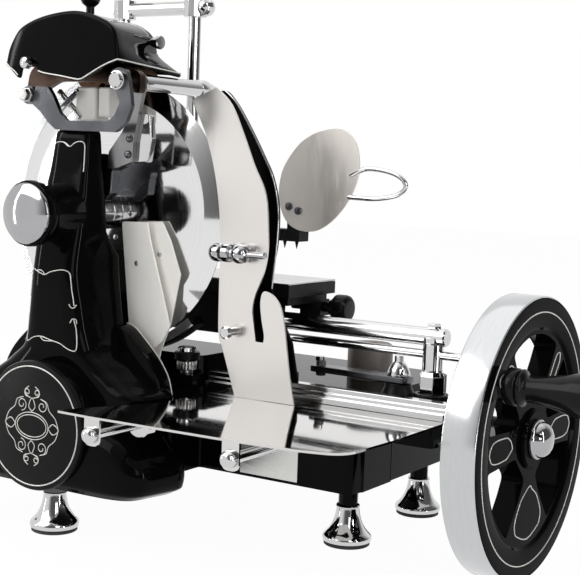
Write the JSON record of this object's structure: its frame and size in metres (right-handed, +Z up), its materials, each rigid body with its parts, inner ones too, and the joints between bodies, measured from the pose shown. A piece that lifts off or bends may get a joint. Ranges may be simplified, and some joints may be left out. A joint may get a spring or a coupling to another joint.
{
  "type": "hand crank meat slicer",
  "caption": "Hand cranked slicer: flywheel with crank, round blade on a flared column, sliding meat carriage with press, slice tray, deflector and built-in sharpener on four feet",
  "frame": {"origin": "Centre of the front left foot's sole, which is the foot under the column", "axes": "+Z up from the floor, +X along the machine toward the flywheel, +Y from the slice side toward the meat carriage"},
  "size_m": [0.7064, 0.4113, 0.575],
  "materials": {
    "chrome": "polished",
    "mirror_steel": "mirror polished stainless",
    "steel": "satin",
    "gloss_black": "high gloss enamel",
    "satin_black": "satin",
    "black_grip": "semi gloss",
    "aluminium": "polished cast",
    "bronze": "machined",
    "stone": "bonded abrasive grit",
    "grey_paint": "semi gloss"
  },
  "bodies": {
    "frame": {"front_left_foot": "chrome", "front_right_foot": "chrome", "back_right_foot": "chrome", "back_left_foot": "chrome", "column_casting": "gloss_black", "chain_cover": "satin_black", "badge_cap": "chrome", "base_casting": "gloss_black", "inner_wheel_bush": "bronze", "outer_wheel_bush": "bronze", "drive_chain": "steel", "blade_bearing": "steel", "blade_guard_ring": "aluminium", "slice_tray": "mirror_steel", "left_tray_rod": "chrome", "right_tray_rod": "chrome", "slice_deflector": "mirror_steel", "deflector_screw": "chrome", "scraper_plate": "mirror_steel", "front_rail": "chrome", "left_guide_post": "steel", "right_guide_post": "steel", "guide_bar": "chrome", "thin_rod": "chrome", "lever_pivot": "chrome", "drive_drum": "grey_paint", "yoke_plate": "steel", "tie_rod": "chrome"},
    "flywheel_body": {"wheel_tyre": "chrome", "flywheel": "gloss_black", "wheel_hub_cap": "chrome", "crank_pin": "chrome", "wheel_shaft": "steel", "wheel_bevel_gear": "steel"},
    "grip_body": {"crank_grip": "black_grip"},
    "cross_shaft_body": {"cross_gear_shaft": "steel", "cross_bevel_gear": "steel"},
    "sprocket_body": {"pinion_shaft": "steel", "lower_sprocket": "steel"},
    "blade_body": {"blade": "mirror_steel", "blade_shaft": "steel", "upper_sprocket": "steel"},
    "gauge_body": {"gauge_plate": "satin_black"},
    "thickness_knob_body": {"thickness_knob": "steel"},
    "lever_body": {"drive_lever": "satin_black"},
    "carriage_body": {"carriage_saddle": "gloss_black"},
    "table_body": {"table_frame": "satin_black", "table_top": "steel", "left_press_post": "chrome", "right_press_post": "chrome", "press_crosspiece": "chrome"},
    "feed_knob_body": {"feed_knob": "satin_black"},
    "press_body": {"press_arm": "satin_black", "hand_guard": "mirror_steel"},
    "sharpener_body": {"sharpener_cover": "gloss_black", "sharpener_frame": "steel"},
    "sharpener_knob_body": {"sharpener_knob": "satin_black"},
    "front_stone_body": {"front_stone": "stone"},
    "rear_stone_body": {"rear_stone": "stone"},
    "clamp_body": {"deflector_clamp": "chrome"}
  },
  "joints": [
    {"name": "flywheel_spin", "type": "hinge", "parent": "frame", "child": "flywheel_body", "pos_m": [0.42, 0.14, 0.131], "axis": [1, 0, 0], "continuous": true},
    {"name": "grip_spin", "type": "hinge", "parent": "flywheel_body", "child": "grip_body", "pos_m": [0.5, 0.06413, 0.18817], "axis": [1, 0, 0], "continuous": true},
    {"name": "cross_shaft_spin", "type": "hinge", "parent": "frame", "child": "cross_shaft_body", "pos_m": [0.04, 0.1, 0.131], "axis": [0, 1, 0], "continuous": true},
    {"name": "sprocket_spin", "type": "hinge", "parent": "frame", "child": "sprocket_body", "pos_m": [0, 0.02, 0.108], "axis": [0, 1, 0], "continuous": true},
    {"name": "blade_spin", "type": "hinge", "parent": "frame", "child": "blade_body", "pos_m": [0, 0.06, 0.31], "axis": [0, 1, 0], "continuous": true},
    {"name": "gauge_slide", "type": "slide", "parent": "frame", "child": "gauge_body", "axis": [0, 1, 0], "range_m": [-0.016, 0]},
    {"name": "thickness_knob_turn", "type": "hinge", "parent": "frame", "child": "thickness_knob_body", "pos_m": [0.084, 0.096, 0.16], "axis": [0, 0, 1], "range_deg": [-360, 0]},
    {"name": "lever_swing", "type": "hinge", "parent": "frame", "child": "lever_body", "pos_m": [0.292, 0.152, 0.166], "axis": [0, 0, 1], "range_deg": [-12, 12]},
    {"name": "carriage_slide", "type": "slide", "parent": "frame", "child": "carriage_body", "axis": [1, 0, 0], "range_m": [-0.065, 0.12]},
    {"name": "table_feed", "type": "slide", "parent": "carriage_body", "child": "table_body", "axis": [0, 1, 0], "range_m": [0, 0.04]},
    {"name": "feed_knob_turn", "type": "hinge", "parent": "table_body", "child": "feed_knob_body", "pos_m": [0.19, 0.19, 0.222], "axis": [1, 0, 0], "range_deg": [0, 1440]},
    {"name": "press_slide", "type": "slide", "parent": "table_body", "child": "press_body", "axis": [0, 0, 1], "range_m": [-0.02, 0.17]},
    {"name": "sharpener_swing", "type": "hinge", "parent": "frame", "child": "sharpener_body", "pos_m": [0.064, 0.05, 0.436], "axis": [0, 1, 0], "range_deg": [0, 30]},
    {"name": "sharpener_knob_turn", "type": "hinge", "parent": "sharpener_body", "child": "sharpener_knob_body", "pos_m": [-0.003, 0.04, 0.51], "axis": [0, 0, 1], "range_deg": [-180, 180]},
    {"name": "front_stone_spin", "type": "hinge", "parent": "sharpener_body", "child": "front_stone_body", "pos_m": [-0.026, 0.067, 0.446], "axis": [0, 1, 0], "continuous": true},
    {"name": "rear_stone_spin", "type": "hinge", "parent": "sharpener_body", "child": "rear_stone_body", "pos_m": [0.024, 0.091, 0.446], "axis": [0, 1, 0], "continuous": true},
    {"name": "clamp_turn", "type": "hinge", "parent": "frame", "child": "clamp_body", "pos_m": [0.151, 0.07, 0.279], "axis": [0, 1, 0], "range_deg": [-90, 0]}
  ],
  "couplings": [
    {"joint": "cross_shaft_spin", "follows": "flywheel_spin", "ratio": -1},
    {"joint": "sprocket_spin", "follows": "flywheel_spin", "ratio": 1.3333},
    {"joint": "blade_spin", "follows": "flywheel_spin", "ratio": 2.2857},
    {"joint": "thickness_knob_turn", "follows": "gauge_slide", "rad_per_m": 392.7},
    {"joint": "feed_knob_turn", "follows": "table_feed", "rad_per_m": 628.32}
  ]
}
